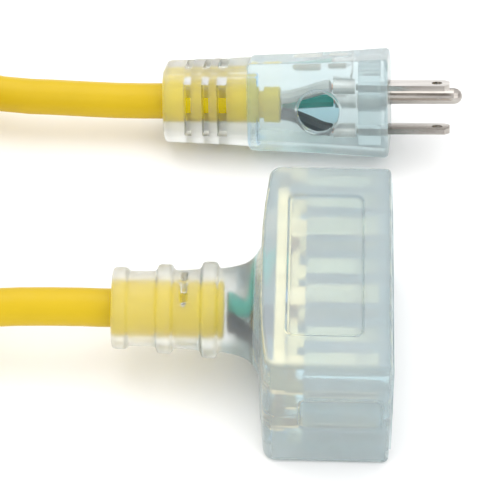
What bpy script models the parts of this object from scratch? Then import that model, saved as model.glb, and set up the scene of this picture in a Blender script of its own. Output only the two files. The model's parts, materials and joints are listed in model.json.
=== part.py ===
"""Outdoor extension cord, 7.62 m long: a moulded grounded plug, round cord in a tied coil, and a T connector.

Metres, +Z up. +X points out of the outlet face and +Y runs along the row of three outlets. The origin is under the
middle of the connector's box, on the surface that everything lies on. The plug's pieces hang on the empty plug_frame,
whose X axis runs out of the plug's front face, Y from the blades to the ground pin, and Z from line to neutral.
"""
import math

import bmesh
import bpy
from mathutils import Euler, Vector

# Cord
CORD_RADIUS = 0.00515
WIRE_RADIUS = 0.0019
CONDUCTOR_RADIUS = 0.00095
GAP = 0.0003

# Connector: block and ribbed neck
FACE_X = 0.037
BLOCK_BACK_X = 0.0017
NECK_END_X = -0.037
BLOCK_HALF_LENGTH = 0.037
BLOCK_HEIGHT = 0.0373
AXIS_Z = BLOCK_HEIGHT / 2
BACK_CORNER = 0.0042
FRONT_CORNER = 0.002
BACK_SLOPE = 0.0015
EDGE = 0.0011
DRAFT = 0.0005
NECK_SIDES = 28
LABEL_LOW = (0.0091, -0.0255)
LABEL_HIGH = (0.0291, 0.0255)
LABEL_CORNER = 0.0022
LABEL_DEPTH = 0.0008
END_PANEL_LOW = (0.0128, 0.0133)
END_PANEL_HIGH = (0.0345, 0.0247)

# Connector: outlets, contacts and wiring
OUTLET_PITCH = 0.0246
OUTLET_ROW = (-OUTLET_PITCH, 0.0, OUTLET_PITCH)
BLADE_OFFSET = 0.00635
BLADES_Y = -0.0053
PIN_HOLE_Y = BLADES_Y + 0.0119
HOUSING_BACK_X = 0.014
HOUSING_HALF_LENGTH = 0.0349
HOUSING_LOW_Z = 0.0043
HOUSING_HIGH_Z = BLOCK_HEIGHT - HOUSING_LOW_Z
PLATE_THICKNESS = 0.0028
CHAMBER_X = (0.0035, HOUSING_BACK_X + 0.0001)
CHAMBER_HALF_LENGTH = 0.0345
CHAMBER_Z = (0.006, 0.0313)
SHEET = 0.0008
JACKET_END_X = -0.0068

# Plug
PLUG_ROLL = math.radians(-27)
PLUG_YAW = math.radians(-2.3)
PLUG_FACE = (0.0364, 0.0806)
PLUG_BODY_LENGTH = 0.0400
PLUG_RELIEF_LENGTH = 0.0240
PLUG_END_X = -(PLUG_BODY_LENGTH + PLUG_RELIEF_LENGTH)
PLUG_AXIS_Y = 0.0055
PLUG_FRONT = (-0.005, 0.0185, 0.0144)
PLUG_REAR = (-0.0038, 0.0163, 0.0127)
PLUG_SHOULDER = 0.0068
PLUG_CHAMFER = (0.0025, 0.0040)
PLUG_JACKET_END_X = -0.0307
PLUG_WALL = 0.0017
LENS = (-0.0196, -0.0004)
BLADE_WIDTH = 0.00635
BLADE_THICKNESS = 0.0015
BLADE_LENGTH = 0.0173
PIN_RADIUS = 0.00238
PIN_LENGTH = 0.0206
PIN_Y = 0.0119
TAIL_X = -0.009
CRIMP_X = (-0.0155, TAIL_X - GAP)
SLOTS = ((-0.0568, 0.0020), (-0.0517, 0.0020), (-0.0470, 0.0028))

# Coil: six layers of turns, wound in and out
COIL_CENTRE = (-0.181, 0.040)
COIL_INNER_RADIUS = 0.0425
COIL_OUTER_RADIUS = 0.0885
COIL_HEIGHT = 0.0638
COIL_SEGMENTS = 40
TIE_WIDTH = 0.020
TIE_THICKNESS = 0.0016
TIE_ANGLE = math.radians(95)

# Routes of the two free runs, from their exits to the coil
CONNECTOR_ROUTE = (
    (-0.0373, 0.0, AXIS_Z),
    (-0.0450, 0.0, AXIS_Z),
    (-0.0580, 0.0003, 0.0184),
    (-0.0700, 0.0003, 0.0174),
    (-0.0820, -0.0008, 0.0154),
    (-0.0930, -0.0034, 0.0126),
)
PLUG_ROUTE = (
    (-0.0420, 0.0885, 0.0114),
    (-0.0540, 0.0889, 0.0117),
    (-0.0660, 0.0890, 0.0119),
    (-0.0780, 0.0903, 0.0122),
    (-0.0890, 0.0944, 0.0127),
    (-0.0960, 0.0981, 0.0133),
)


def clear_scene():
    for item in list(bpy.data.objects):
        bpy.data.objects.remove(item, do_unlink=True)


def material(name, colour, roughness, metallic=0.0, alpha=1.0):
    made = bpy.data.materials.new(name)
    made.use_nodes = True
    shader = made.node_tree.nodes["Principled BSDF"]
    shader.inputs["Base Color"].default_value = (*colour, 1.0)
    shader.inputs["Roughness"].default_value = roughness
    shader.inputs["Metallic"].default_value = metallic
    shader.inputs["Alpha"].default_value = alpha
    made.diffuse_color = (*colour, alpha)
    return made


def add(name, data, look, parent=None):
    made = bpy.data.objects.new(name, data)
    bpy.context.scene.collection.objects.link(made)
    if look is not None:
        data.materials.append(look)
    made.parent = parent
    return made


def add_shape(name, shape, look, parent=None, smooth=True):
    bmesh.ops.recalc_face_normals(shape, faces=shape.faces)
    data = bpy.data.meshes.new(name)
    shape.to_mesh(data)
    shape.free()
    if smooth:
        data.shade_smooth()
        data.set_sharp_from_angle(angle=math.radians(35))
    return add(name, data, look, parent)


def loft(rings, shape=None):
    """A closed solid through rings of points, with a flat cap at each end."""
    shape = shape or bmesh.new()
    rows = [[shape.verts.new(point) for point in ring] for ring in rings]
    for low, high in zip(rows, rows[1:]):
        for k in range(len(low)):
            after = (k + 1) % len(low)
            shape.faces.new((low[k], low[after], high[after], high[k]))
    shape.faces.new(rows[0])
    shape.faces.new(rows[-1])
    return shape


def box(low, high, shape=None):
    corners = ((0, 0), (1, 0), (1, 1), (0, 1))
    ends = (low, high)
    rings = [[(ends[i][0], ends[j][1], ends[k][2]) for i, j in corners] for k in (0, 1)]
    return loft(rings, shape)


def circle(x, radius, sides, centre=(0.0, 0.0)):
    turn = 2 * math.pi / sides
    return [
        (x, centre[0] + radius * math.cos(k * turn), centre[1] + radius * math.sin(k * turn))
        for k in range(sides)
    ]


def turned(profile, sides, centre=(0.0, 0.0), shape=None):
    """A solid of revolution about a line along X. The profile holds pairs of x and radius."""
    return loft([circle(x, radius, sides, centre) for x, radius in profile], shape)


def barrel(profile, sides, centre=(0.0, 0.0)):
    """A solid of revolution with a bore. The profile is a closed loop of pairs of x and radius."""
    shape = bmesh.new()
    rows = [[shape.verts.new(point) for point in circle(x, r, sides, centre)] for x, r in profile]
    for low, high in zip(rows, rows[1:] + rows[:1]):
        for k in range(sides):
            after = (k + 1) % sides
            shape.faces.new((low[k], low[after], high[after], high[k]))
    return shape


def arc(x, y, radius, start, end, steps):
    """Points along an arc, with its angles in degrees."""
    angles = [math.radians(start + (end - start) * k / steps) for k in range(steps + 1)]
    return [(x + radius * math.cos(a), y + radius * math.sin(a)) for a in angles]


def rounded_rectangle(low, high, corner, steps=4):
    return (
        arc(high[0] - corner, low[1] + corner, corner, -90, 0, steps)
        + arc(high[0] - corner, high[1] - corner, corner, 0, 90, steps)
        + arc(low[0] + corner, high[1] - corner, corner, 90, 180, steps)
        + arc(low[0] + corner, low[1] + corner, corner, 180, 270, steps)
    )


def upright(outline, low, high, shape=None):
    """A prism along Z."""
    return loft([[(x, y, z) for x, y in outline] for z in (low, high)], shape)


def smooth_route(points, steps):
    """Points on a smooth curve through the given ones."""
    ends = [Vector(p) for p in points]
    ends.insert(0, 2 * ends[0] - ends[1])
    ends.append(2 * ends[-1] - ends[-2])
    route = []
    for a, b, c, d in zip(ends, ends[1:], ends[2:], ends[3:]):
        for k in range(steps):
            t = k / steps
            near = (2 * b) + (c - a) * t
            far = (2 * a - 5 * b + 4 * c - d) * t * t + (3 * b - a - 3 * c + d) * t * t * t
            route.append((near + far) / 2)
    route.append(ends[-2])
    return route


def tube(name, points, radius, look, parent=None, resolution=2):
    curve = bpy.data.curves.new(name, "CURVE")
    curve.dimensions = "3D"
    curve.bevel_depth = radius
    curve.bevel_resolution = resolution
    curve.render_resolution_u = 0
    curve.use_fill_caps = True
    spline = curve.splines.new("POLY")
    spline.points.add(len(points) - 1)
    for target, point in zip(spline.points, points):
        target.co = (*point, 1.0)
        target.radius = 1.0
    spline.use_smooth = True
    return add(name, curve, look, parent)


def change(target, operation, tools):
    """Applies shapes to an object in turn, as hidden cutters or as additions."""
    for shape in tools:
        bmesh.ops.recalc_face_normals(shape, faces=shape.faces)
        label = f"{target.name}_tool_{len(target.modifiers)}"
        data = bpy.data.meshes.new(label)
        shape.to_mesh(data)
        shape.free()
        tool = add(label, data, None, target.parent)
        tool.display_type = "WIRE"
        tool.hide_render = True
        step = target.modifiers.new(label, "BOOLEAN")
        step.operation = operation
        step.object = tool
        step.solver = "EXACT"


def cut(target, *tools):
    change(target, "DIFFERENCE", tools)


def fuse(target, *tools):
    change(target, "UNION", tools)


def block_outline(inset):
    """The connector block's plan, inset on all sides but the outlet face."""
    half = BLOCK_HALF_LENGTH - inset
    back = BLOCK_BACK_X + inset
    front = FACE_X - max(0.0, inset - DRAFT) * 0.5
    end_back = back + BACK_SLOPE
    right = (
        [(back, -0.014)]
        + arc(end_back + BACK_CORNER, -half + BACK_CORNER, BACK_CORNER, 180, 270, 5)
        + arc(front - FRONT_CORNER, -half + FRONT_CORNER, FRONT_CORNER, -90, 0, 3)
    )
    return right + [(x, -y) for x, y in reversed(right)]


def connector_overmold(look):
    levels = (
        (0.0, DRAFT + EDGE),
        (EDGE * 0.35, DRAFT + EDGE * 0.35),
        (EDGE * 1.1, DRAFT),
        (AXIS_Z, 0.0),
        (BLOCK_HEIGHT - EDGE * 1.1, DRAFT),
        (BLOCK_HEIGHT - EDGE * 0.35, DRAFT + EDGE * 0.35),
        (BLOCK_HEIGHT, DRAFT + EDGE),
    )
    body = loft([[(x, y, z) for x, y in block_outline(inset)] for z, inset in levels])
    made = add_shape("connector_overmold", body, look)
    fuse(made, turned(neck_profile(), NECK_SIDES, (0.0, AXIS_Z)))
    pocket_margin = GAP
    pocket = box(
        (HOUSING_BACK_X - GAP, -HOUSING_HALF_LENGTH - pocket_margin, HOUSING_LOW_Z - pocket_margin),
        (FACE_X + 0.002, HOUSING_HALF_LENGTH + pocket_margin, HOUSING_HIGH_Z + pocket_margin),
    )
    chamber = box(
        (CHAMBER_X[0], -CHAMBER_HALF_LENGTH, CHAMBER_Z[0]),
        (HOUSING_BACK_X, CHAMBER_HALF_LENGTH, CHAMBER_Z[1]),
    )
    bore_radius = CORD_RADIUS + GAP
    bore = turned(((NECK_END_X - 0.002, bore_radius), (-0.005, bore_radius)), 24, (0.0, AXIS_Z))
    throat = turned(((-0.0066, 0.0080), (0.0045, 0.0112)), 24, (0.0, AXIS_Z))
    label = rounded_rectangle(LABEL_LOW, LABEL_HIGH, LABEL_CORNER)
    recess = upright(label, BLOCK_HEIGHT - LABEL_DEPTH, BLOCK_HEIGHT + 0.001)
    windows = bmesh.new()
    panel = rounded_rectangle(END_PANEL_LOW, END_PANEL_HIGH, LABEL_CORNER)
    loft([[(x, y, z) for x, z in panel] for y in (-0.040, LABEL_DEPTH - BLOCK_HALF_LENGTH)], windows)
    for low, high in ((-0.0055, -0.0003), (0.0007, 0.0047)):
        box((-0.0187, low, AXIS_Z + 0.0046), (-0.0171, high, AXIS_Z + 0.014), windows)
    cut(made, pocket, chamber, bore, throat, recess, windows)


def neck_profile():
    """The neck from its end to inside the block: three ribs on a tapered sleeve, then a flare."""
    ribs = ((-0.0369, 0.01085, 0.00995), (-0.0251, 0.01185, 0.01035), (-0.0133, 0.0128, 0.0111))
    width = 0.0042
    round_off = 0.0007
    profile = []
    for start, crown, sleeve in ribs:
        profile += [
            (start, crown - round_off),
            (start + round_off, crown),
            (start + width - round_off, crown),
            (start + width, crown - round_off),
            (start + width + 0.0003, sleeve),
        ]
        if start != ribs[-1][0]:
            profile.append((start + 0.0115, sleeve + 0.0003))
    profile += [(-0.003, 0.0123), (0.004, 0.0138)]
    return [(NECK_END_X, 0.0095)] + profile


def outlet_housing(look):
    body = box(
        (HOUSING_BACK_X, -HOUSING_HALF_LENGTH, HOUSING_LOW_Z),
        (FACE_X, HOUSING_HALF_LENGTH, HOUSING_HIGH_Z),
    )
    made = add_shape("outlet_housing", body, look, smooth=False)
    plate_back = FACE_X - PLATE_THICKNESS
    chambers = bmesh.new()
    slots = bmesh.new()
    for middle in OUTLET_ROW:
        y = middle + BLADES_Y
        for side, half_width in ((-1, 0.0036), (1, 0.0042)):
            z = AXIS_Z + side * BLADE_OFFSET
            box((0.013, y - half_width, z - 0.0019), (plate_back, y + half_width, z + 0.0019), chambers)
            low = (plate_back - 0.001, y - half_width + 0.0001, z - 0.001)
            box(low, (FACE_X + 0.001, y + half_width - 0.0001, z + 0.001), slots)
        y = middle + PIN_HOLE_Y
        box((0.013, y - 0.0030, AXIS_Z - 0.0038), (plate_back, y + 0.0030, AXIS_Z + 0.0038), chambers)
        low = (y - 0.0027, AXIS_Z - 0.0027)
        pin_hole = rounded_rectangle(low, (y + 0.0027, AXIS_Z + 0.0027), 0.0009)
        loft([[(x, y, z) for y, z in pin_hole] for x in (plate_back - 0.001, FACE_X + 0.001)], slots)
    cut(made, chambers, slots)


def fork_outline(back, grip, spread, sheet):
    """A sprung contact's side view: a tab behind, a web, and two leaves that close on the prong."""
    web = 0.0146
    half = (
        (back, -sheet / 2),
        (web, -sheet / 2),
        (web, -spread),
        (0.027, -spread),
        (0.0305, -grip - sheet),
        (0.0330, -spread - 0.0001),
        (0.0333, -spread + sheet),
        (0.0305, -grip),
        (0.027, -spread + sheet),
        (web + sheet, -spread + sheet),
    )
    return list(half) + [(x, -y) for x, y in reversed(half)]


def contacts(look):
    """Nine sprung contacts, one for each slot, and the three strips that feed them."""
    sheet = 0.0006
    rows = (
        ("line", BLADES_Y, AXIS_Z - BLADE_OFFSET, 0.0065, 0.0005, 0.0015, 0.0032),
        ("neutral", BLADES_Y, AXIS_Z + BLADE_OFFSET, 0.0065, 0.0005, 0.0015, 0.0032),
        ("ground", PIN_HOLE_Y, AXIS_Z, 0.0097, 0.0020, 0.0033, 0.0026),
    )
    for pole, offset, height, back, grip, spread, half in rows:
        outline = fork_outline(back, grip, spread, sheet)
        for number, middle in enumerate(OUTLET_ROW, 1):
            ends = (middle + offset - half, middle + offset + half)
            shape = loft([[(x, y, height + z) for x, z in outline] for y in ends])
            add_shape(f"{pole}_contact_{number}", shape, look, smooth=False)
    strips = (
        ("line_bus_strip", 0.0062, 0.0092, AXIS_Z - BLADE_OFFSET - sheet / 2 - GAP - SHEET),
        ("neutral_bus_strip", 0.0062, 0.0092, AXIS_Z + BLADE_OFFSET + sheet / 2 + GAP),
        ("ground_bus_strip", 0.0096, 0.0122, AXIS_Z + sheet / 2 + GAP),
    )
    for name, back, front, low in strips:
        bar = box((back, -0.0335, low), (front, 0.0335, low + SHEET))
        add_shape(name, bar, look, smooth=False)


def connector_wiring(looks):
    z = AXIS_Z
    bodies = (
        ("line", "black", ((-0.0057, -0.0020, z - 0.0014), (-0.0045, -0.0020, z - 0.0014),
                           (-0.0012, -0.0036, z - 0.0016), (0.0030, -0.0060, 0.0172),
                           (0.0056, -0.0092, 0.0168), (0.0059, -0.0118, 0.0152),
                           (0.0058, -0.0130, 0.0140))),
        ("neutral", "white", ((-0.0057, 0.0023, z - 0.0012), (-0.0045, 0.0023, z - 0.0012),
                              (-0.0012, 0.0030, z - 0.0014), (0.0032, 0.0038, 0.0184),
                              (0.0056, 0.0042, 0.0203), (0.0062, 0.0042, 0.0214))),
        ("ground", "green", ((-0.0057, -0.0002, z + 0.0026), (-0.0045, -0.0003, z + 0.0026),
                             (-0.0016, -0.0026, z + 0.0035), (0.0012, -0.0034, z + 0.0047),
                             (0.0030, 0.0008, 0.0246), (0.0040, 0.0056, 0.0243),
                             (0.0056, 0.0098, 0.0229), (0.0074, 0.0124, 0.0221))),
    )
    ends = {
        "line": ((0.0058, -0.0133, 0.0136), (0.0060, -0.0138, 0.0132), (0.0076, -0.0150, 0.0129)),
        "neutral": ((0.0064, 0.0042, 0.0218), (0.0071, 0.0044, 0.0230), (0.0078, 0.0046, 0.0242)),
        "ground": ((0.0078, 0.0128, 0.0219), (0.0090, 0.0137, 0.0215), (0.0104, 0.0145, 0.0213)),
    }
    for pole, colour, points in bodies:
        tube(f"connector_{pole}_wire", smooth_route(points, 3), WIRE_RADIUS, looks[colour])
        tube(f"connector_{pole}_conductor", ends[pole], CONDUCTOR_RADIUS, looks["copper"])
    stub = ((NECK_END_X, 0.0, z), (JACKET_END_X, 0.0, z))
    tube("connector_jacket_end", stub, CORD_RADIUS, looks["yellow"])


def connector_lamp(looks):
    """The power light between the strips: a lamp, its resistor and their leads."""
    x = 0.0059
    z = 0.0180
    lamp = [(x, radius, y) for y, radius in ((0.0195, 0.0016), (0.0205, 0.0020), (0.0280, 0.0020),
                                             (0.0290, 0.0017), (0.0295, 0.0010))]
    add_shape("connector_lamp", along_y(lamp, z), looks["lamp"])
    body = [(x, radius, y) for y, radius in ((0.0108, 0.0009), (0.0112, 0.0012), (0.0166, 0.0012),
                                             (0.0170, 0.0009))]
    add_shape("connector_resistor", along_y(body, z), looks["resistor"])
    leads = (
        ("connector_lamp_lead_neutral", ((x, 0.0299, z), (0.0071, 0.0306, z + 0.0006),
                                         (0.0074, 0.0308, 0.0215), (0.0074, 0.0308, 0.0253))),
        ("connector_lamp_lead_middle", ((x, 0.0173, z), (x, 0.0192, z))),
        ("connector_lamp_lead_line", ((x, 0.0105, z), (0.0068, 0.0098, z - 0.0006),
                                      (0.0076, 0.0095, 0.0150), (0.0076, 0.0095, 0.0120))),
    )
    for name, points in leads:
        tube(name, points, 0.0003, looks["tinned"])


def along_y(rings, z, sides=14):
    """A turned solid along Y, from rings of x, radius and y."""
    turn = 2 * math.pi / sides
    rows = []
    for x, radius, y in rings:
        angles = [k * turn for k in range(sides)]
        rows.append([(x + radius * math.cos(a), y, z + radius * math.sin(a)) for a in angles])
    return loft(rows)


def plug_section(x, back, ground, half):
    """The plug body's outline at x: chamfered on the blade side, with long shoulders on the ground side."""
    drop = PLUG_SHOULDER * math.tan(-PLUG_ROLL)
    upper = (
        (back, half - PLUG_CHAMFER[1]),
        (back + PLUG_CHAMFER[0], half),
        (ground - PLUG_SHOULDER, half),
        (ground, half - drop),
    )
    ring = list(upper) + [(y, -z) for y, z in reversed(upper)]
    return [(x, y, z) for y, z in ring]


def relief_section(x, half, corner=0.0062, steps=4):
    outline = rounded_rectangle((-half * 0.94, -half), (half * 0.94, half), corner, steps)
    return [(x, PLUG_AXIS_Y + y, z) for y, z in outline]


def plug_frame():
    """The plug rests on one shoulder and the end of its strain relief, so the frame leans between them."""
    lean = Vector((0.0, math.sin(-PLUG_ROLL), -math.cos(-PLUG_ROLL)))
    rings = (
        plug_section(-0.0008, *PLUG_FRONT),
        relief_section(PLUG_END_X + 0.0009, 0.0108),
    )
    reaches = [max(lean.dot(Vector((0.0, y, z))) for _, y, z in ring) for ring in rings]
    pitch = -math.atan((reaches[0] - reaches[1]) / (rings[0][0][0] - rings[1][0][0]))
    made = bpy.data.objects.new("plug_frame", None)
    bpy.context.scene.collection.objects.link(made)
    turn = Euler((PLUG_ROLL, pitch, PLUG_YAW))
    made.rotation_euler = turn
    lowest = min((turn.to_matrix() @ Vector(point)).z for ring in rings for point in ring)
    made.location = (*PLUG_FACE, -lowest)
    return made


def plug_overmold(frame, look):
    stations = (
        (-PLUG_BODY_LENGTH, 0.0, -0.0008),
        (-PLUG_BODY_LENGTH + 0.0008, 0.0, 0.0),
        (-0.024, 0.28, 0.0),
        (-0.012, 0.62, 0.0),
        (-0.0008, 1.0, 0.0),
        (0.0, 1.0, -0.0006),
    )
    rings = []
    for x, share, inset in stations:
        back, ground, half = [r + (f - r) * share for r, f in zip(PLUG_REAR, PLUG_FRONT)]
        rings.append(plug_section(x, back - inset, ground + inset, half + inset))
    made = add_shape("plug_overmold", loft(rings), look, frame)
    relief = loft([
        relief_section(PLUG_END_X, 0.0099, 0.0056),
        relief_section(PLUG_END_X + 0.0009, 0.0108),
        relief_section(-PLUG_BODY_LENGTH + 0.003, 0.0118),
    ])
    fuse(made, relief)
    bore_radius = CORD_RADIUS + GAP
    axis = (PLUG_AXIS_Y, 0.0)
    bore = turned(((PLUG_END_X - 0.002, bore_radius), (PLUG_JACKET_END_X - 0.001, bore_radius)), 24, axis)
    cavity = box((PLUG_JACKET_END_X - 0.0015, -0.0036, -0.0103), (-PLUG_WALL, 0.0153, 0.0103))
    blades = bmesh.new()
    for side in (-1, 1):
        z = side * BLADE_OFFSET
        low = (-0.003, -BLADE_WIDTH / 2 - GAP, z - BLADE_THICKNESS / 2 - GAP)
        box(low, (0.001, BLADE_WIDTH / 2 + GAP, z + BLADE_THICKNESS / 2 + GAP), blades)
    turned(((-0.003, PIN_RADIUS + GAP), (0.001, PIN_RADIUS + GAP)), 20, (PIN_Y, 0.0), blades)
    lens_profile = ((-0.012, 0.0069), (-0.0047, 0.0062), (-0.0041, 0.0061), (-0.0038, 0.0057))
    lens = loft([[(LENS[0] + x, y, LENS[1] + z) for _, x, z in circle(0.0, r, 32)] for y, r in lens_profile])
    cut(made, bore, cavity, blades, *relief_slots(), lens)


def relief_slots():
    """Slots through the strain relief to the cord, on its four sides."""
    across = bmesh.new()
    upright_slots = bmesh.new()
    reach = 0.014
    for x, width in SLOTS:
        low = x - width / 2
        high = x + width / 2
        for start, end in ((-reach, -0.0046), (0.0046, reach)):
            box((low, PLUG_AXIS_Y + start, -0.0075), (high, PLUG_AXIS_Y + end, 0.0075), across)
            box((low, PLUG_AXIS_Y - 0.0045, start), (high, PLUG_AXIS_Y + 0.0045, end), upright_slots)
    return across, upright_slots


def plug_prongs(frame, looks):
    half = BLADE_WIDTH / 2
    tip = 0.0014
    outline = (
        (TAIL_X, -0.0016), (-0.007, -0.0016), (-0.007, -half), (BLADE_LENGTH - tip, -half),
        (BLADE_LENGTH, -half + tip), (BLADE_LENGTH, half - tip), (BLADE_LENGTH - tip, half),
        (-0.007, half), (-0.007, 0.0016), (TAIL_X, 0.0016),
    )
    for pole, side in (("line", -1), ("neutral", 1)):
        low = side * BLADE_OFFSET - BLADE_THICKNESS / 2
        blade = upright(outline, low, low + BLADE_THICKNESS)
        made = add_shape(f"plug_{pole}_blade", blade, looks["nickel"], frame, smooth=False)
        hole = arc(0.0137, 0.0, 0.0015, 0, 345, 15)
        cut(made, upright(hole, low - 0.001, low + BLADE_THICKNESS + 0.001))
    dome = [(PIN_LENGTH - PIN_RADIUS + PIN_RADIUS * math.sin(a), PIN_RADIUS * math.cos(a))
            for a in (0.0, 0.5, 0.95, 1.35)]
    pin = turned([(TAIL_X, PIN_RADIUS)] + dome, 20, (PIN_Y, 0.0))
    add_shape("plug_ground_pin", pin, looks["nickel"], frame)


def plug_bridge(frame, look):
    """The stiff plate that holds the three prongs apart behind the front wall."""
    body = box((-0.0084, -0.0033, -0.0100), (-PLUG_WALL - GAP, 0.0150, 0.0100))
    made = add_shape("plug_prong_bridge", body, look, frame, smooth=False)
    holes = bmesh.new()
    for side in (-1, 1):
        z = side * BLADE_OFFSET
        low = (-0.010, -BLADE_WIDTH / 2 - GAP / 3, z - BLADE_THICKNESS / 2 - GAP)
        box(low, (0.0, BLADE_WIDTH / 2 + GAP, z + BLADE_THICKNESS / 2 + GAP), holes)
    turned(((-0.010, PIN_RADIUS + GAP), (0.0, PIN_RADIUS + GAP)), 20, (PIN_Y, 0.0), holes)
    cut(made, holes)


def plug_wiring(frame, looks):
    start = PLUG_JACKET_END_X + GAP
    y = PLUG_AXIS_Y
    rows = (
        ("line", "black", (y - 0.0016, -0.0024), (0.0, -BLADE_OFFSET)),
        ("neutral", "white", (y - 0.0016, 0.0024), (0.0, BLADE_OFFSET)),
        ("ground", "green", (y + 0.0024, 0.0), (PIN_Y, 0.0)),
    )
    for pole, colour, first, last in rows:
        points = []
        for x, share in ((start, 0.0), (-0.0275, 0.10), (-0.0225, 0.52), (-0.019, 0.86), (-0.0162, 1.0)):
            middle = [a + (b - a) * share for a, b in zip(first, last)]
            points.append((x, *middle))
        tube(f"plug_{pole}_wire", smooth_route(points, 3), WIRE_RADIUS, looks[colour], frame)
        core = ((-0.0159, *last), (-0.0135, *last), (CRIMP_X[1] - 0.0004, *last))
        tube(f"plug_{pole}_conductor", core, CONDUCTOR_RADIUS, looks["copper"], frame)
        inner = CONDUCTOR_RADIUS + GAP
        outer = 0.0021
        back, front = CRIMP_X
        profile = ((back, inner), (back, outer), (front, outer), (front, inner))
        add_shape(f"plug_{pole}_crimp", barrel(profile, 16, last), looks["tinned"], frame)
    stub = ((PLUG_END_X, y, 0.0), (PLUG_JACKET_END_X, y, 0.0))
    tube("plug_jacket_end", stub, CORD_RADIUS, looks["yellow"], frame)


def plug_lamp(frame, looks):
    """The plug's power light, beside the white wire, with its resistor and leads."""
    centre = (0.0115, 0.0078)
    lamp = ((-0.0275, 0.0008), (-0.0268, 0.0016), (-0.0258, 0.0018), (-0.0200, 0.0018), (-0.0192, 0.0014))
    add_shape("plug_lamp", turned(lamp, 14, centre), looks["lamp"], frame)
    body = ((-0.0172, 0.0009), (-0.0168, 0.0012), (-0.0122, 0.0012), (-0.0118, 0.0009))
    add_shape("plug_resistor", turned(body, 14, centre), looks["resistor"], frame)
    y, z = centre
    tube("plug_lamp_lead_middle", ((-0.0189, y, z), (-0.0175, y, z)), 0.0003, looks["tinned"], frame)
    points = ((-0.0115, y, z), (-0.0103, y, z), (-0.0100, 0.0075, z), (-0.0104, 0.0036, 0.0074))
    tube("plug_lamp_lead_neutral", points, 0.0003, looks["tinned"], frame)


def coil_solid(look):
    """The outer shape of the coil's turns, with room under it for the tie."""
    low = COIL_INNER_RADIUS
    high = COIL_OUTER_RADIUS
    top = COIL_HEIGHT
    edge = 0.003
    profile = (
        (low + edge, 0.0), (high - edge, 0.0), (high, edge), (high, top - edge),
        (high - edge, top), (low + edge, top), (low, top - edge), (low, edge),
    )
    shape = bmesh.new()
    rows = []
    for k in range(COIL_SEGMENTS):
        turn = 2 * math.pi * k / COIL_SEGMENTS
        across = Vector((math.cos(turn), math.sin(turn), 0.0))
        centre = Vector((*COIL_CENTRE, 0.0))
        rows.append([shape.verts.new(centre + across * r + Vector((0, 0, z))) for r, z in profile])
    for near, far in zip(rows, rows[1:] + rows[:1]):
        for k in range(len(profile)):
            after = (k + 1) % len(profile)
            shape.faces.new((near[k], near[after], far[after], far[k]))
    made = add_shape("cord_coil", shape, look)
    groove = box((low - 0.002, -TIE_WIDTH / 2 - GAP, -0.001), (high + 0.002, TIE_WIDTH / 2 + GAP, 0.0022))
    place_at_tie(groove)
    cut(made, groove)
    return low, high, top


def place_at_tie(shape):
    cos, sin = math.cos(TIE_ANGLE), math.sin(TIE_ANGLE)
    for vertex in shape.verts:
        x, y, z = vertex.co
        vertex.co = (COIL_CENTRE[0] + x * cos - y * sin, COIL_CENTRE[1] + x * sin + y * cos, z)


def coil_tie(extent, look):
    """A hook-and-loop strap round the coil's bundle."""
    low, high, top = extent
    half = TIE_WIDTH / 2
    low = math.sqrt((low * math.cos(math.pi / COIL_SEGMENTS)) ** 2 - half ** 2)
    inner = ((low - GAP, 0.0018), (high + GAP, 0.0018), (high + GAP, top + GAP), (low - GAP, top + GAP))
    t = TIE_THICKNESS
    outer = ((low - GAP - t, 0.0002), (high + GAP + t, 0.0002), (high + GAP + t, top + GAP + t),
             (low - GAP - t, top + GAP + t))
    shape = bmesh.new()
    rows = [[shape.verts.new((r, y, z)) for r, z in ring]
            for ring, y in ((outer, -half), (outer, half), (inner, half), (inner, -half))]
    for near, far in zip(rows, rows[1:] + rows[:1]):
        for k in range(4):
            after = (k + 1) % 4
            shape.faces.new((near[k], near[after], far[after], far[k]))
    place_at_tie(shape)
    add_shape("coil_tie", shape, look, smooth=False)


def cord_runs(frame, look):
    tube("cord_run_connector", smooth_route(CONNECTOR_ROUTE, 2), CORD_RADIUS, look, resolution=3)
    bpy.context.view_layer.update()
    exits = [frame.matrix_world @ Vector((PLUG_END_X - s, PLUG_AXIS_Y, 0.0)) for s in (2 * GAP, 0.0070)]
    route = smooth_route((*exits, *PLUG_ROUTE), 2)
    tube("cord_run_plug", route, CORD_RADIUS, look, resolution=3)


def main():
    clear_scene()
    looks = {
        "yellow": material("cord_yellow", (0.90, 0.62, 0.015), 0.45),
        "black": material("wire_black", (0.02, 0.025, 0.03), 0.4),
        "white": material("wire_white", (0.85, 0.85, 0.82), 0.4),
        "green": material("wire_green", (0.02, 0.38, 0.30), 0.4),
        "copper": material("copper", (0.72, 0.36, 0.22), 0.3, 1.0),
        "tinned": material("tinned_metal", (0.72, 0.70, 0.68), 0.35, 1.0),
        "nickel": material("nickel_plate", (0.62, 0.59, 0.55), 0.28, 1.0),
        "brass": material("brass", (0.78, 0.60, 0.30), 0.3, 1.0),
        "lamp": material("lamp_glass", (0.95, 0.75, 0.55), 0.15, 0.0, 0.6),
        "resistor": material("resistor_ceramic", (0.75, 0.62, 0.45), 0.6),
        "clear": material("clear_vinyl", (0.78, 0.85, 0.83), 0.35, 0.0, 0.4),
        "insert": material("clear_insert", (0.85, 0.88, 0.88), 0.25, 0.0, 0.45),
        "strap": material("strap_black", (0.03, 0.03, 0.03), 0.9),
    }
    connector_overmold(looks["clear"])
    outlet_housing(looks["insert"])
    contacts(looks["brass"])
    connector_wiring(looks)
    connector_lamp(looks)
    frame = plug_frame()
    plug_overmold(frame, looks["clear"])
    plug_prongs(frame, looks)
    plug_bridge(frame, looks["insert"])
    plug_wiring(frame, looks)
    plug_lamp(frame, looks)
    coil_tie(coil_solid(looks["yellow"]), looks["strap"])
    cord_runs(frame, looks["yellow"])


main()
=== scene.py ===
"""Extension cord: clear moulded plug, yellow cord in a tied coil, and clear T connector. Metres, Z up."""
import json
import math

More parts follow.
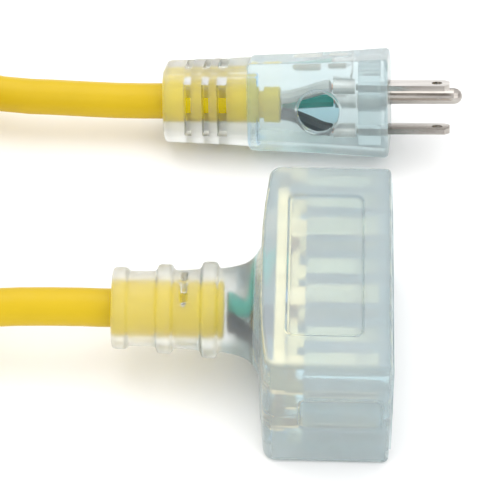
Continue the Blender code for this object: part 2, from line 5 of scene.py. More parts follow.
import bmesh
import bpy
from mathutils import Euler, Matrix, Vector


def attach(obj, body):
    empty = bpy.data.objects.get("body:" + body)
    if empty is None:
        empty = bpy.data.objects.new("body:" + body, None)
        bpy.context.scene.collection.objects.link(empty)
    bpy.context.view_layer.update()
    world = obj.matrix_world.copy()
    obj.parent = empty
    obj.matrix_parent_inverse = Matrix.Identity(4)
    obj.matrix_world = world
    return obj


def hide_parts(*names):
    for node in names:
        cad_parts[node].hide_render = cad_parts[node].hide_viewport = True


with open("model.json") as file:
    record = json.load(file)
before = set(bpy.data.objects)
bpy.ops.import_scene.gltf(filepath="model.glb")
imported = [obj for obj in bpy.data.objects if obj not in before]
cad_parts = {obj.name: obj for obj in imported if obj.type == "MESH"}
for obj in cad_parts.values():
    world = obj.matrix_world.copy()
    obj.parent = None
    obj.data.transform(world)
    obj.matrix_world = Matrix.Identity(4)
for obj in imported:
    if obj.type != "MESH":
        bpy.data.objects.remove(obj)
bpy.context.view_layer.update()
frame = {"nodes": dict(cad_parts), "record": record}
NODES = frame["nodes"]

# ---------------------------------------------------------------- sizes, repeated from the CAD part
R = 0.00515
AXIS_Z = 0.01865
NECK_END_X = -0.037
FACE_X = 0.037
BACK_X = 0.0017
HALF_LENGTH = 0.037
HEIGHT = 0.0373
DRAFT = 0.0005
PLUG_ROLL = math.radians(-27)
PLUG_YAW = math.radians(-2.3)
PLUG_FACE = (0.0364, 0.0806)
PLUG_BODY = 0.0400
PLUG_END = -0.0640
PLUG_AXIS_Y = 0.0055
PLUG_FRONT = (-0.005, 0.0185, 0.0144)
PLUG_REAR = (-0.0038, 0.0163, 0.0127)
SHOULDER = 0.0068
CHAMFER = (0.0025, 0.0040)
SLOTS = ((-0.0568, 0.0020), (-0.0517, 0.0020), (-0.0470, 0.0028))
LENS_CENTRE = (-0.0196, -0.0004)
LABEL = ((0.0091, -0.0255), (0.0291, 0.0255))
END_PANEL = ((0.0128, 0.0133), (0.0345, 0.0247))
PANEL_CORNER = 0.0022
PANEL_DEPTH = 0.0008
NECK_SLOTS = ((-0.0055, -0.0003), (0.0007, 0.0047))
BLADE_OFFSET = 0.00635
PIN_OFFSET = 0.0119
CORD_LENGTH = 7.62
COIL_CENTRE = (-0.181, 0.040)
TIE_ANGLE = 95.0
PITCH = 0.01045
LAYER = 0.01032
TURNS_PER_LAYER = 3
LAYERS = 6
OUTSIDE = 0.0925
CLIMB = math.radians(75)

# ---------------------------------------------------------------- details that only the visual has
LENS_FLOOR = (-0.0034, 0.0058)
JACKET_BORE = 0.00518
STRAP_HALF_WIDTH = 0.0098
STRAP_THICKNESS = 0.0013
RIM_POCKET = ((0.0360, -0.0352, 0.0040), (0.040, 0.0352, 0.0333))
SLEEVE_FRONT_X = 0.0005
BLOCK_VOXEL = 0.00036
PLUG_VOXEL = 0.00035
FLOOR_HALF = 4.0


# ---------------------------------------------------------------- small tools
def new_object(name, data):
    made = bpy.data.objects.new(name, data)
    bpy.context.scene.collection.objects.link(made)
    return made


def mesh_object(name, bm, smooth=True):
    bmesh.ops.recalc_face_normals(bm, faces=bm.faces)
    data = bpy.data.meshes.new(name)
    bm.to_mesh(data)
    bm.free()
    if smooth:
        data.shade_smooth()
    return new_object(name, data)


def loft(rings, bm=None):
    bm = bm or bmesh.new()
    rows = [[bm.verts.new(p) for p in ring] for ring in rings]
    for low, high in zip(rows, rows[1:]):
        for k in range(len(low)):
            j = (k + 1) % len(low)
            bm.faces.new((low[k], low[j], high[j], high[k]))
    bm.faces.new(rows[0])
    bm.faces.new(rows[-1])
    return bm


def box(low, high, bm=None):
    quad = ((0, 0), (1, 0), (1, 1), (0, 1))
    ends = (low, high)
    return loft([[(ends[i][0], ends[j][1], ends[k][2]) for i, j in quad] for k in (0, 1)], bm)


def turned(profile, sides, centre, bm=None):
    turn = 2 * math.pi / sides
    rings = []
    for x, r in profile:
        rings.append([(x, centre[0] + r * math.cos(k * turn), centre[1] + r * math.sin(k * turn))
                      for k in range(sides)])
    return loft(rings, bm)


def arc(x, y, radius, start, end, steps):
    angles = [math.radians(start + (end - start) * k / steps) for k in range(steps + 1)]
    return [(x + radius * math.cos(a), y + radius * math.sin(a)) for a in angles]


def rounded_rectangle(low, high, corner, steps=6):
    return (arc(high[0] - corner, low[1] + corner, corner, -90, 0, steps)
            + arc(high[0] - corner, high[1] - corner, corner, 0, 90, steps)
            + arc(low[0] + corner, high[1] - corner, corner, 90, 180, steps)
            + arc(low[0] + corner, low[1] + corner, corner, 180, 270, steps))


def modifier(target, kind, **values):
    step = target.modifiers.new(kind.lower(), kind)
    for key, value in values.items():
        setattr(step, key, value)
    return step


def boolean(target, tool, operation="DIFFERENCE"):
    modifier(target, "BOOLEAN", operation=operation, object=tool, solver="EXACT")
    apply_modifiers(target)
    bpy.data.objects.remove(tool, do_unlink=True)


def apply_modifiers(target):
    bpy.context.view_layer.update()
    graph = bpy.context.evaluated_depsgraph_get()
    data = bpy.data.meshes.new_from_object(target.evaluated_get(graph), depsgraph=graph)
    target.modifiers.clear()
    target.data = data


def ease(t):
    t = min(max(t, 0.0), 1.0)
    return t * t * (3 - 2 * t)


# ---------------------------------------------------------------- the cord's route
def plug_matrix():
    lean = Vector((0.0, math.sin(-PLUG_ROLL), -math.cos(-PLUG_ROLL)))
    rings = (plug_ring(-0.0008, PLUG_FRONT), relief_ring(PLUG_END + 0.0009, 0.0108, 0.0062, 4))
    reach = [max(lean.dot(Vector((0.0, y, z))) for _, y, z in ring) for ring in rings]
    pitch = -math.atan((reach[0] - reach[1]) / (rings[0][0][0] - rings[1][0][0]))
    turn = Euler((PLUG_ROLL, pitch, PLUG_YAW)).to_matrix()
    lowest = min((turn @ Vector(p)).z for ring in rings for p in ring)
    made = turn.to_4x4()
    made.translation = Vector((*PLUG_FACE, -lowest))
    return made


def plug_ring(x, sizes):
    back, ground, half = sizes
    drop = SHOULDER * math.tan(-PLUG_ROLL)
    upper = ((back, half - CHAMFER[1]), (back + CHAMFER[0], half),
             (ground - SHOULDER, half), (ground, half - drop))
    ring = list(upper) + [(y, -z) for y, z in reversed(upper)]
    return [(x, y, z) for y, z in ring]


def relief_ring(x, half, corner, steps=6):
    outline = rounded_rectangle((-half * 0.94, -half), (half * 0.94, half), corner, steps)
    return [(x, PLUG_AXIS_Y + y, z) for y, z in outline]


def hermite(a, b, out_a, out_b, steps):
    """Points after a and before b on a cubic with these end tangents."""
    made = []
    for k in range(1, steps):
        t = k / steps
        made.append(a * (2 * t ** 3 - 3 * t * t + 1) + out_a * (t ** 3 - 2 * t * t + t)
                    + b * (3 * t * t - 2 * t ** 3) + out_b * (t ** 3 - t * t))
    return made


def coil_point(phi, inner):
    """The wound turns, phi radians in from where the connector's run joins them."""
    per_layer = 2 * math.pi * TURNS_PER_LAYER
    layer = phi / per_layer
    whole = int(layer)
    share = layer - whole
    if whole % 2:
        share = 1 - share
    radius = inner + TURNS_PER_LAYER * PITCH * (1 - share)
    z = R + 0.0001
    for k in range(1, LAYERS):
        z += LAYER * ease((phi - k * per_layer + CLIMB) / (2 * CLIMB))
    angle = math.radians(-50) - phi
    return radius, angle, z


def on_circle(radius, angle, z):
    return Vector((COIL_CENTRE[0] + radius * math.cos(angle), COIL_CENTRE[1] + radius * math.sin(angle), z))


def tie_lift(angle):
    """Turns ride up over the strap that passes under them."""
    away = abs((math.degrees(angle) - TIE_ANGLE + 180) % 360 - 180)
    return 0.00165 * (1 - ease((away - 7.0) / 42.0))


def cord_route(inner, place):
    total = 2 * math.pi * (TURNS_PER_LAYER * LAYERS - 1) + math.radians(250)
    start = Vector((NECK_END_X, 0.0, AXIS_Z))
    radius, angle, z = coil_point(0.0, inner)
    join = on_circle(radius, angle, z)
    heading = Vector((math.sin(angle), -math.cos(angle), 0.0))
    route = [start, start + Vector((-0.004, 0, 0)), start + Vector((-0.008, 0.0001, 0))]
    leave = Vector((-0.070, 0.0003, 0.0174))
    lead = Vector((-1.0, 0.0, -0.11)).normalized()
    span = (leave - route[-1]).length
    route += hermite(route[-1], leave, Vector((-1.0, 0, 0)) * span, lead * span, 3)
    route.append(leave)
    span = (join - leave).length
    route += hermite(leave, join, lead * span * 1.05, heading * span * 1.05, 11)
    steps = 520
    for k in range(steps + 1):
        phi = total * k / steps
        radius, angle, z = coil_point(phi, inner)
        left = math.degrees(total - phi)
        out = ease((165 - left) / 70)
        radius += (OUTSIDE - radius) * out
        fall = ease((112 - left) / 152)
        z += (0.0125 - z) * fall
        z += tie_lift(angle) * (1 - fall)
        route.append(on_circle(radius, angle, z))
    last = route[-1]
    before = route[-2]
    mouth = place @ Vector((PLUG_END, PLUG_AXIS_Y, 0.0))
    along = (place.to_3x3() @ Vector((1.0, 0.0, 0.0))).normalized()
    near = mouth - along * 0.008
    meet = Vector((-0.066, 0.0890, 0.0119))
    level = Vector((1.0, -0.012, 0.0))
    heading = (last - before).normalized()
    span = (meet - last).length
    route += hermite(last, meet, heading * span * 1.1, level * span * 1.0, 9)
    route.append(meet)
    span = (near - meet).length
    route += hermite(meet, near, level * span, along * span, 5)
    route += [near, mouth - along * 0.004, mouth]
    return route


def route_length(points):
    return sum((b - a).length for a, b in zip(points, points[1:]))


PLACE = plug_matrix()
low_inner, high_inner = 0.040, 0.060
for _ in range(40):
    middle = (low_inner + high_inner) / 2
    if route_length(cord_route(middle, PLACE)) > CORD_LENGTH:
        high_inner = middle
    else:
        low_inner = middle
INNER = (low_inner + high_inner) / 2
ROUTE = cord_route(INNER, PLACE)

# ---------------------------------------------------------------- camera
scene = bpy.context.scene
camera_data = bpy.data.cameras.new("camera")
camera = new_object("camera", camera_data)
AIM = Vector((-0.0017, 0.0407, 0.0))
YAW = math.radians(1.6)
ELEVATION = math.radians(45.6)
DISTANCE = 0.850
forward = Vector((-math.sin(YAW) * math.cos(ELEVATION), math.cos(YAW) * math.cos(ELEVATION),
                  -math.sin(ELEVATION)))
camera.location = AIM - forward * DISTANCE
camera.rotation_euler = forward.to_track_quat("-Z", "Y").to_euler()
camera_data.sensor_width = 36.0
camera_data.lens = 36.0 * 3053 / 500
camera_data.clip_start = 0.01
camera_data.clip_end = 50
scene.camera = camera


# ---------------------------------------------------------------- materials
class Look:
    """A node material with short names for its parts."""

    def __init__(self, name):
        self.material = bpy.data.materials.new(name)
        self.material.use_nodes = True
        self.tree = self.material.node_tree
        self.shader = self.tree.nodes["Principled BSDF"]
        self.coordinates = self.tree.nodes.new("ShaderNodeTexCoord").outputs["Object"]

    def set(self, **values):
        for key, value in values.items():
            self.shader.inputs[key.replace("_", " ")].default_value = value
        return self

    def node(self, kind, **values):
        made = self.tree.nodes.new(kind)
        for key, value in values.items():
            setattr(made, key, value)
        return made

    def link(self, source, target):
        self.tree.links.new(source, target)

    def noise(self, scale, detail=4.0, roughness=0.55, stretch=None):
        made = self.node("ShaderNodeTexNoise")
        made.inputs["Scale"].default_value = scale
        made.inputs["Detail"].default_value = detail
        made.inputs["Roughness"].default_value = roughness
        source = self.coordinates
        if stretch:
            shape = self.node("ShaderNodeMapping")
            shape.inputs["Scale"].default_value = stretch
            self.link(source, shape.inputs["Vector"])
            source = shape.outputs["Vector"]
        self.link(source, made.inputs["Vector"])
        return made.outputs["Fac"]

    def ramp(self, source, *stops):
        made = self.node("ShaderNodeValToRGB")
        band = made.color_ramp
        while len(band.elements) < len(stops):
            band.elements.new(0.5)
        for element, (place, colour) in zip(band.elements, stops):
            element.position = place
            element.color = (*colour, 1.0)
        self.link(source, made.inputs["Fac"])
        return made.outputs["Color"]

    def range(self, source, low, high, start=0.3, end=0.7):
        made = self.node("ShaderNodeMapRange")
        made.inputs["From Min"].default_value = start
        made.inputs["From Max"].default_value = end
        made.inputs["To Min"].default_value = low
        made.inputs["To Max"].default_value = high
        self.link(source, made.inputs["Value"])
        return made.outputs["Result"]

    def colour(self, source):
        self.link(source, self.shader.inputs["Base Color"])
        return self

    def rough(self, source):
        self.link(source, self.shader.inputs["Roughness"])
        return self

    def bump(self, source, strength, distance):
        made = self.node("ShaderNodeBump")
        made.inputs["Strength"].default_value = strength
        made.inputs["Distance"].default_value = distance
        self.link(source, made.inputs["Height"])
        self.link(made.outputs["Normal"], self.shader.inputs["Normal"])
        return self

    def absorb(self, colour, density):
        made = self.node("ShaderNodeVolumeAbsorption")
        made.inputs["Color"].default_value = (*colour, 1.0)
        made.inputs["Density"].default_value = density
        self.link(made.outputs["Volume"], self.tree.nodes["Material Output"].inputs["Volume"])
        return self


def clear_vinyl(name, clearness, low, high, dark, light, tint=8.0):
    """Milky clear plastic. What isn't clear scatters at the surface, and low to high is its roughness."""
    look = Look(name).set(Transmission_Weight=clearness, IOR=1.50)
    cloud = look.noise(60.0, 3.0)
    look.colour(look.ramp(cloud, (0.3, dark), (0.7, light)))
    look.rough(look.range(look.noise(240.0, 5.0), low, high))
    look.bump(look.noise(700.0, 3.0), 0.08, 0.0001)
    look.absorb((0.60, 0.92, 0.99), tint)
    return look.material


def clear_polished():
    look = Look("clear_polished").set(Transmission_Weight=0.97, IOR=1.50)
    look.colour(look.ramp(look.noise(80.0), (0.3, (0.95, 0.98, 0.975)), (0.7, (0.98, 0.995, 0.99))))
    look.rough(look.range(look.noise(300.0), 0.07, 0.11))
    look.absorb((0.74, 0.93, 0.96), 5.0)
    return look.material


def clear_insert():
    look = Look("clear_insert").set(Transmission_Weight=0.82, IOR=1.14)
    look.colour(look.ramp(look.noise(90.0), (0.3, (0.82, 0.92, 0.94)), (0.7, (0.90, 0.96, 0.97))))
    look.rough(look.range(look.noise(300.0), 0.10, 0.18))
    look.bump(look.noise(500.0), 0.1, 0.0001)
    return look.material


def yellow_jacket(name, dark, middle, light):
    look = Look(name).set(IOR=1.36, Coat_Weight=0.06, Coat_Roughness=0.3)
    look.colour(look.ramp(look.noise(35.0, 5.0), (0.28, dark), (0.5, middle), (0.74, light)))
    look.rough(look.range(look.noise(260.0, 6.0), 0.34, 0.50))
    look.bump(look.noise(700.0, 5.0, 0.6), 0.16, 0.00015)
    return look.material


def insulation(name, dark, light):
    look = Look(name).set(IOR=1.5)
    look.colour(look.ramp(look.noise(120.0), (0.3, dark), (0.7, light)))
    look.rough(look.range(look.noise(500.0), 0.28, 0.42))
    look.bump(look.noise(900.0), 0.1, 0.0001)
    return look.material


def metal(name, dark, light, low, high, stretch, strength=0.12):
    look = Look(name).set(Metallic=1.0)
    grain = look.noise(300.0, 6.0, 0.6, stretch)
    look.colour(look.ramp(grain, (0.3, dark), (0.7, light)))
    look.rough(look.range(look.noise(420.0, 5.0, 0.6, stretch), low, high))
    look.bump(grain, strength, 0.00005)
    return look.material


def strap_fabric():
    look = Look("strap_black").set(Sheen_Weight=0.35, Sheen_Roughness=0.5)
    weave = look.node("ShaderNodeTexWave", wave_type="BANDS", bands_direction="DIAGONAL")
    weave.inputs["Scale"].default_value = 420.0
    weave.inputs["Distortion"].default_value = 2.5
    look.link(look.coordinates, weave.inputs["Vector"])
    look.colour(look.ramp(weave.outputs["Fac"], (0.2, (0.012, 0.012, 0.013)), (0.8, (0.05, 0.05, 0.052))))
    look.rough(look.range(look.noise(600.0), 0.8, 0.95))
    look.bump(weave.outputs["Fac"], 0.6, 0.0004)
    return look.material


def studio_floor():
    look = Look("studio_floor").set(IOR=1.3)
    look.colour(look.ramp(look.noise(3.0), (0.3, (0.96, 0.96, 0.96)), (0.7, (0.98, 0.98, 0.98))))
    look.rough(look.range(look.noise(20.0), 0.7, 0.85))
    return look.material


LOOKS = {
    "clear_vinyl": clear_vinyl("clear_vinyl", 0.80, 0.18, 0.26, (0.77, 0.87, 0.885), (0.85, 0.93, 0.94)),
    "frosted_vinyl": clear_vinyl("frosted_vinyl", 0.72, 0.18, 0.26, (0.78, 0.90, 0.93), (0.86, 0.95, 0.97),
                                 10.0),
    "clear_insert": clear_insert(),
    "clear_polished": clear_polished(),
    "clear_sleeve": clear_vinyl("clear_sleeve", 0.93, 0.28, 0.38, (0.94, 0.96, 0.95), (0.99, 1.0, 0.99),
                                0.8),
    "cord_yellow": yellow_jacket("cord_yellow", (0.58, 0.395, 0.001), (0.62, 0.425, 0.002),
                                 (0.66, 0.455, 0.003)),
    # A brighter copy of the cord's yellow for the jacket ends inside the mouldings: the extra brightness is
    # painted light, standing in for the light the clear mouldings keep off them.
    "jacket_yellow_painted_light": yellow_jacket("jacket_yellow_painted_light", (0.91, 0.67, 0.001), (0.95, 0.72, 0.002),
                                   (0.97, 0.76, 0.003)),
    "wire_black": insulation("wire_black", (0.022, 0.042, 0.060), (0.04, 0.068, 0.09)),
    "wire_white": insulation("wire_white", (0.74, 0.74, 0.70), (0.86, 0.86, 0.83)),
    "wire_green": insulation("wire_green", (0.012, 0.42, 0.33), (0.025, 0.54, 0.44)),
    "copper": metal("copper", (0.62, 0.27, 0.16), (0.80, 0.42, 0.27), 0.25, 0.4, (1, 1, 6), 0.5),
    "tinned_metal": metal("tinned_metal", (0.56, 0.54, 0.51), (0.78, 0.76, 0.73), 0.25, 0.4, (1, 1, 1)),
    "nickel_plate": metal("nickel_plate", (0.30, 0.275, 0.25), (0.60, 0.565, 0.525), 0.10, 0.22,
                          (0.12, 1, 1)),
    "brass": metal("brass", (0.80, 0.58, 0.27), (0.96, 0.76, 0.45), 0.2, 0.36, (0.2, 1, 1)),
    "lamp_glass": insulation("lamp_glass", (0.92, 0.80, 0.68), (0.96, 0.88, 0.78)),
    "resistor_ceramic": insulation("resistor_ceramic", (0.72, 0.64, 0.54), (0.80, 0.73, 0.63)),
    "strap_black": strap_fabric(),
}


def paint(target, look):
    target.data.materials.clear()
    target.data.materials.append(LOOKS[look])


for entry in frame["record"]["subparts"]:
    paint(NODES[entry["node"]], entry["material_slot"])


def place_piece(piece, look, *nodes):
    paint(piece, look)
    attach(piece, "root")
    if nodes:
        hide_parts(*nodes)
    return piece


# ---------------------------------------------------------------- cord
def make_cord():
    curve = bpy.data.curves.new("cord", "CURVE")
    curve.dimensions = "3D"
    curve.bevel_depth = R
    curve.bevel_resolution = 6
    curve.render_resolution_u = 0
    curve.use_fill_caps = True
    spline = curve.splines.new("POLY")
    spline.points.add(len(ROUTE) - 1)
    for target, point in zip(spline.points, ROUTE):
        target.co = (*point, 1.0)
    spline.use_smooth = True
    return new_object("cord", curve)


cord = place_piece(make_cord(), "cord_yellow", "cord_coil", "cord_run_connector", "cord_run_plug")


# ---------------------------------------------------------------- tie
def make_tie():
    """A hook-and-loop strap round the bundle, with its free end lapped over the outside."""
    angle = math.radians(TIE_ANGLE)
    inner = INNER - R - 0.0012
    outer = INNER + TURNS_PER_LAYER * PITCH + 0.0008
    low = 0.0003
    high = LAYERS * LAYER + 0.0024
    corner = 0.0045
    outline = rounded_rectangle((inner, low), (outer, high), corner, 7)
    start = outline.index(max(outline, key=lambda p: p[0] - abs(p[1] - 0.02) * 10))
    loop = outline[start:] + outline[:start]
    path = loop + [loop[0]]
    lap = [(x + STRAP_THICKNESS * 1.15, z) for x, z in loop[:9] if x > outer - corner]
    path = path + lap
    half = STRAP_HALF_WIDTH
    rings = []
    for k, (x, z) in enumerate(path):
        a = path[max(k - 1, 0)]
        b = path[min(k + 1, len(path) - 1)]
        tangent = Vector((b[0] - a[0], b[1] - a[1], 0)).normalized()
        normal = Vector((tangent.y, -tangent.x, 0))
        out = (x + normal.x * STRAP_THICKNESS, z + normal.y * STRAP_THICKNESS)
        ring = []
        for px, pz, y in ((x, z, -half), (out[0], out[1], -half), (out[0], out[1], half), (x, z, half)):
            ring.append((COIL_CENTRE[0] + px * math.cos(angle) - y * math.sin(angle),
                         COIL_CENTRE[1] + px * math.sin(angle) + y * math.cos(angle), max(pz, 0.0002)))
        rings.append(ring)
    made = mesh_object("tie_strap", loft(rings), smooth=False)
    modifier(made, "BEVEL", width=0.0003, segments=2, limit_method="ANGLE", angle_limit=0.9)
    apply_modifiers(made)
    made.data.shade_smooth()
    made.data.set_sharp_from_angle(angle=math.radians(40))
    return made


tie = place_piece(make_tie(), "strap_black", "coil_tie")


# ---------------------------------------------------------------- connector moulding
def block_outline(inset):
    half = HALF_LENGTH - inset
    back = BACK_X + inset
    front = FACE_X - inset
    corner = max(0.0042 - inset, 0.001)
    nose = max(0.0020 - inset, 0.0008)
    end_back = back + 0.0015
    right = ([(back, -0.0005), (back, -0.007), (back + 0.0001, -0.014), (back + 0.0005, -0.022)]
             + arc(end_back + corner, -half + corner, corner, 180, 270, 10)
             + arc(front - nose, -half + nose, nose, -90, 0, 7))
    return right + [(x, -y) for x, y in reversed(right)]


def neck_profile():
    """Three ribs on a tapered sleeve, then a flare with a fillet into the block."""
    ribs = ((-0.0369, 0.01085, 0.00995), (-0.0251, 0.01185, 0.01035), (-0.0133, 0.0128, 0.0111))
    width = 0.0042
    edge = 0.0009
    profile = [(NECK_END_X, 0.0094)]
    for start, crown, sleeve in ribs:
        if start != ribs[0][0]:
            profile.append((start - 0.0003, sleeve - 0.0003))
        for k in range(5):
            a = math.radians(180 - 22.5 * k)
            profile.append((start + edge + edge * math.cos(a), crown - edge + edge * math.sin(a)))
        for k in range(5):
            a = math.radians(90 - 22.5 * k)
            profile.append((start + width - edge + edge * math.cos(a), crown - edge + edge * math.sin(a)))
        profile.append((start + width + 0.0003, sleeve))
        profile.append((start + width + 0.0012, sleeve))
    for x, r in ((-0.0062, 0.0114), (-0.0038, 0.0119), (-0.0018, 0.0126), (-0.0003, 0.0136),
                 (0.0009, 0.0150), (0.0018, 0.0166), (0.0060, 0.0170)):
        profile.append((x, r))
    return profile


def make_connector():
    edge = 0.0013
    levels = []
    for k in range(7):
        a = math.radians(90 * k / 6)
        levels.append((edge * (1 - math.cos(a)), DRAFT + edge * (1 - math.sin(a))))
    rows = levels + [(AXIS_Z - 0.0002, 0.0002), (AXIS_Z, 0.0), (AXIS_Z + 0.0002, 0.0002)]
    rows += [(HEIGHT - z, inset) for z, inset in reversed(levels)]
    rings = [[(x, y, z) for x, y in block_outline(inset)] for z, inset in rows]
    made = mesh_object("connector_moulding", loft(rings))
    neck = mesh_object("neck", turned(neck_profile(), 72, (0.0, AXIS_Z)))
    boolean(made, neck, "UNION")
    label = rounded_rectangle(*LABEL, PANEL_CORNER)
    for z in (HEIGHT - PANEL_DEPTH, -0.0012):
        recess = loft([[(x, y, h) for x, y in label] for h in (z, z + 0.0020)])
        boolean(made, mesh_object("recess", recess))
    panel = rounded_rectangle(*END_PANEL, PANEL_CORNER)
    window = loft([[(x, y, z) for x, z in panel] for y in (-0.0400, PANEL_DEPTH - HALF_LENGTH)])
    boolean(made, mesh_object("window", window))
    bore = turned(((NECK_END_X - 0.002, JACKET_BORE), (-0.0362, JACKET_BORE)), 48, (0.0, AXIS_Z))
    boolean(made, mesh_object("bore", bore))
    boolean(made, mesh_object("rim", box(*RIM_POCKET)))
    for low, high in NECK_SLOTS:
        slot = mesh_object("slot", box((-0.0188, low, AXIS_Z + 0.0060), (-0.0170, high, AXIS_Z + 0.014)))
        boolean(made, slot)
    modifier(made, "REMESH", mode="VOXEL", voxel_size=BLOCK_VOXEL)
    modifier(made, "SMOOTH", factor=0.5, iterations=5)
    apply_modifiers(made)
    made.data.shade_smooth()
    made.data.materials.clear()
    made.data.materials.append(LOOKS["frosted_vinyl"])
    made.data.materials.append(LOOKS["clear_sleeve"])
    for face in made.data.polygons:
        if face.center.x < SLEEVE_FRONT_X:
            face.material_index = 1
    return made


connector = make_connector()
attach(connector, "root")
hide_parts("connector_overmold")


# ---------------------------------------------------------------- plug moulding
def mix_sizes(share):
    return [r + (f - r) * share for r, f in zip(PLUG_REAR, PLUG_FRONT)]


def make_plug():
    stations = ((-PLUG_BODY, 0.0, -0.0009), (-PLUG_BODY + 0.0009, 0.0, 0.0), (-0.024, 0.28, 0.0),
                (-0.012, 0.62, 0.0), (-0.0007, 1.0, 0.0), (0.0, 1.0, -0.0007))
    rings = []
    for x, share, inset in stations:
        back, ground, half = mix_sizes(share)
        rings.append(plug_ring(x, (back - inset, ground + inset, half + inset)))
    made = mesh_object("plug_moulding", loft(rings))
    modifier(made, "BEVEL", width=0.0008, segments=4, limit_method="ANGLE", angle_limit=math.radians(12))
    apply_modifiers(made)
    relief = mesh_object("relief", loft([
        relief_ring(PLUG_END, 0.0099, 0.0056), relief_ring(PLUG_END + 0.0003, 0.0104, 0.0059),
        relief_ring(PLUG_END + 0.0009, 0.0108, 0.0062), relief_ring(-PLUG_BODY - 0.004, 0.0115, 0.0062),
        relief_ring(-PLUG_BODY + 0.003, 0.0118, 0.0062)]))
    boolean(made, relief, "UNION")
    modifier(made, "REMESH", mode="VOXEL", voxel_size=PLUG_VOXEL)
    modifier(made, "SMOOTH", factor=0.5, iterations=3)
    apply_modifiers(made)
    bore = turned(((PLUG_END - 0.002, JACKET_BORE), (PLUG_END + 0.0008, JACKET_BORE)), 48,
                  (PLUG_AXIS_Y, 0.0))
    boolean(made, mesh_object("bore", bore))
    blades = bmesh.new()
    for side in (-1, 1):
        z = side * BLADE_OFFSET
        box((-0.003, -0.0034, z - 0.00105), (0.001, 0.0034, z + 0.00105), blades)
    boolean(made, mesh_object("blades", blades))
    pin = mesh_object("pin", turned(((-0.003, 0.00265), (0.001, 0.00265)), 32, (PIN_OFFSET, 0.0)))
    boolean(made, pin)
    for x, width in SLOTS:
        low, high = x - width / 2, x + width / 2
        for start, end in ((-0.014, -0.0046), (0.0046, 0.014)):
            for a, b in (((low, PLUG_AXIS_Y + start, -0.0075), (high, PLUG_AXIS_Y + end, 0.0075)),
                         ((low, PLUG_AXIS_Y - 0.0045, start), (high, PLUG_AXIS_Y + 0.0045, end))):
                boolean(made, mesh_object("slot", box(a, b)))
    rim = turned_along_y(((-0.0051, 0.0064), (-0.0049, 0.0067), (-0.0038, 0.0068)), LENS_CENTRE)
    boolean(made, mesh_object("rim", rim), "UNION")
    lens = turned_along_y(((-0.012, 0.0061), (-0.0041, 0.0060), LENS_FLOOR), LENS_CENTRE)
    boolean(made, mesh_object("lens", lens))
    made.data.shade_smooth()
    made.data.set_sharp_from_angle(angle=math.radians(38))
    made.data.materials.clear()
    made.data.materials.append(LOOKS["clear_vinyl"])
    made.data.materials.append(LOOKS["clear_polished"])
    made.data.materials.append(LOOKS["clear_sleeve"])
    for face in made.data.polygons:
        middle = face.center
        away = math.hypot(middle.x - LENS_CENTRE[0], middle.z - LENS_CENTRE[1])
        if away < LENS_FLOOR[1] and abs(middle.y - LENS_FLOOR[0]) < 0.0002:
            face.material_index = 1
        elif middle.x < 0.0004 - PLUG_BODY:
            face.material_index = 2
    made.data.transform(PLACE)
    return made


def turned_along_y(profile, centre, sides=64):
    turn = 2 * math.pi / sides
    rings = []
    for y, r in profile:
        rings.append([(centre[0] + r * math.cos(k * turn), y, centre[1] + r * math.sin(k * turn))
                      for k in range(sides)])
    return loft(rings)


plug = make_plug()
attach(plug, "root")
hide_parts("plug_overmold")


# ---------------------------------------------------------------- jacket ends and wires inside the mouldings
def make_jacket(name, start, end, axis, place=None, groove=()):
    """The round jacket inside a moulding, cut square, with its slightly flared lip."""
    e = 0.00035
    ring = []
    for x in groove:
        deep = (x, 0.0040)
        ring += [deep, (x, R)] if ring else [(x, R), deep]
    outline = ((start, R), *ring, (end - 0.0022, R), (end - 0.0011, R + 0.00012), (end - e, R + 0.0001),
               (end, R - e), (end, 0.0046), (end - 0.0016, 0.0043))
    made = mesh_object(name, turned(outline, 48, axis))
    made.data.set_sharp_from_angle(angle=math.radians(50))
    if place:
        made.data.transform(place)
    return made


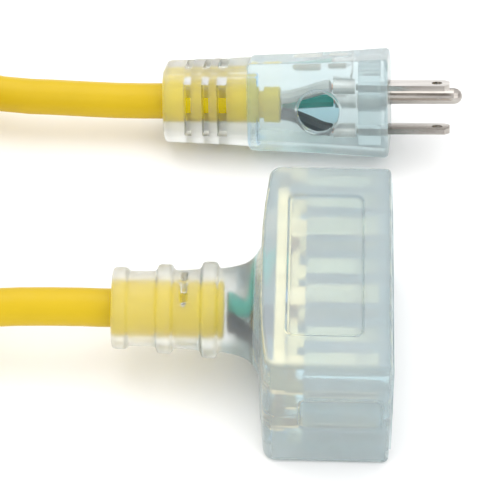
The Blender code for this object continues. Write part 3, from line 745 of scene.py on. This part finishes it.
# The jacket ends inside the mouldings get the brighter yellow copy, painted light for the light the
# mouldings keep off them.
place_piece(make_jacket("connector_jacket", NECK_END_X, -0.0068, (0.0, AXIS_Z)), "cord_yellow",
            "connector_jacket_end").data.materials[0] = LOOKS["jacket_yellow_painted_light"]
plug_jacket = place_piece(make_jacket("plug_jacket", PLUG_END, -0.0307, (PLUG_AXIS_Y, 0.0), PLACE,
                                      (-0.0376, -0.0354)), "cord_yellow", "plug_jacket_end")
plug_jacket.data.materials[0] = LOOKS["jacket_yellow_painted_light"]
for name in NODES:
    if name.endswith("_wire") or name.endswith("_conductor"):
        NODES[name].data.shade_smooth()

# ---------------------------------------------------------------- small edges on the metal parts
for name in ("plug_line_blade", "plug_neutral_blade"):
    modifier(NODES[name], "BEVEL", width=0.00018, segments=2, limit_method="ANGLE", angle_limit=0.6)
for name in NODES:
    if "_contact_" in name or name.endswith("bus_strip"):
        modifier(NODES[name], "BEVEL", width=0.00012, segments=2, limit_method="ANGLE", angle_limit=0.6)

# ---------------------------------------------------------------- the plug's pieces and its jacket end, gathered in a list
riders = [NODES[n] for n in NODES if n.startswith("plug_") and n not in ("plug_overmold", "plug_jacket_end")]
riders.append(plug_jacket)

# ---------------------------------------------------------------- studio
floor_mesh = bmesh.new()
bmesh.ops.create_grid(floor_mesh, x_segments=8, y_segments=8, size=FLOOR_HALF)
floor = mesh_object("studio_floor", floor_mesh)
floor.data.materials.append(studio_floor())


def area_light(name, place, target, size, power, colour=(1, 1, 1)):
    data = bpy.data.lights.new(name, "AREA")
    data.shape = "RECTANGLE"
    data.size, data.size_y = size
    data.energy = power
    data.color = colour
    made = new_object(name, data)
    made.location = place
    made.rotation_euler = (Vector(target) - Vector(place)).to_track_quat("-Z", "Y").to_euler()
    return made


area_light("key", (-0.25, 0.45, 1.3), (0, 0.04, 0), (1.3, 1.3), 8.0)
area_light("fill", (0.5, -0.8, 1.0), (0, 0.04, 0), (1.3, 1.3), 5.0)
world = bpy.data.worlds.new("studio_world")
world.use_nodes = True
world.node_tree.nodes["Background"].inputs["Color"].default_value = (1.0, 1.0, 1.0, 1.0)
world.node_tree.nodes["Background"].inputs["Strength"].default_value = 1.0
scene.world = world
scene.view_settings.view_transform = "Standard"
scene.view_settings.look = "None"
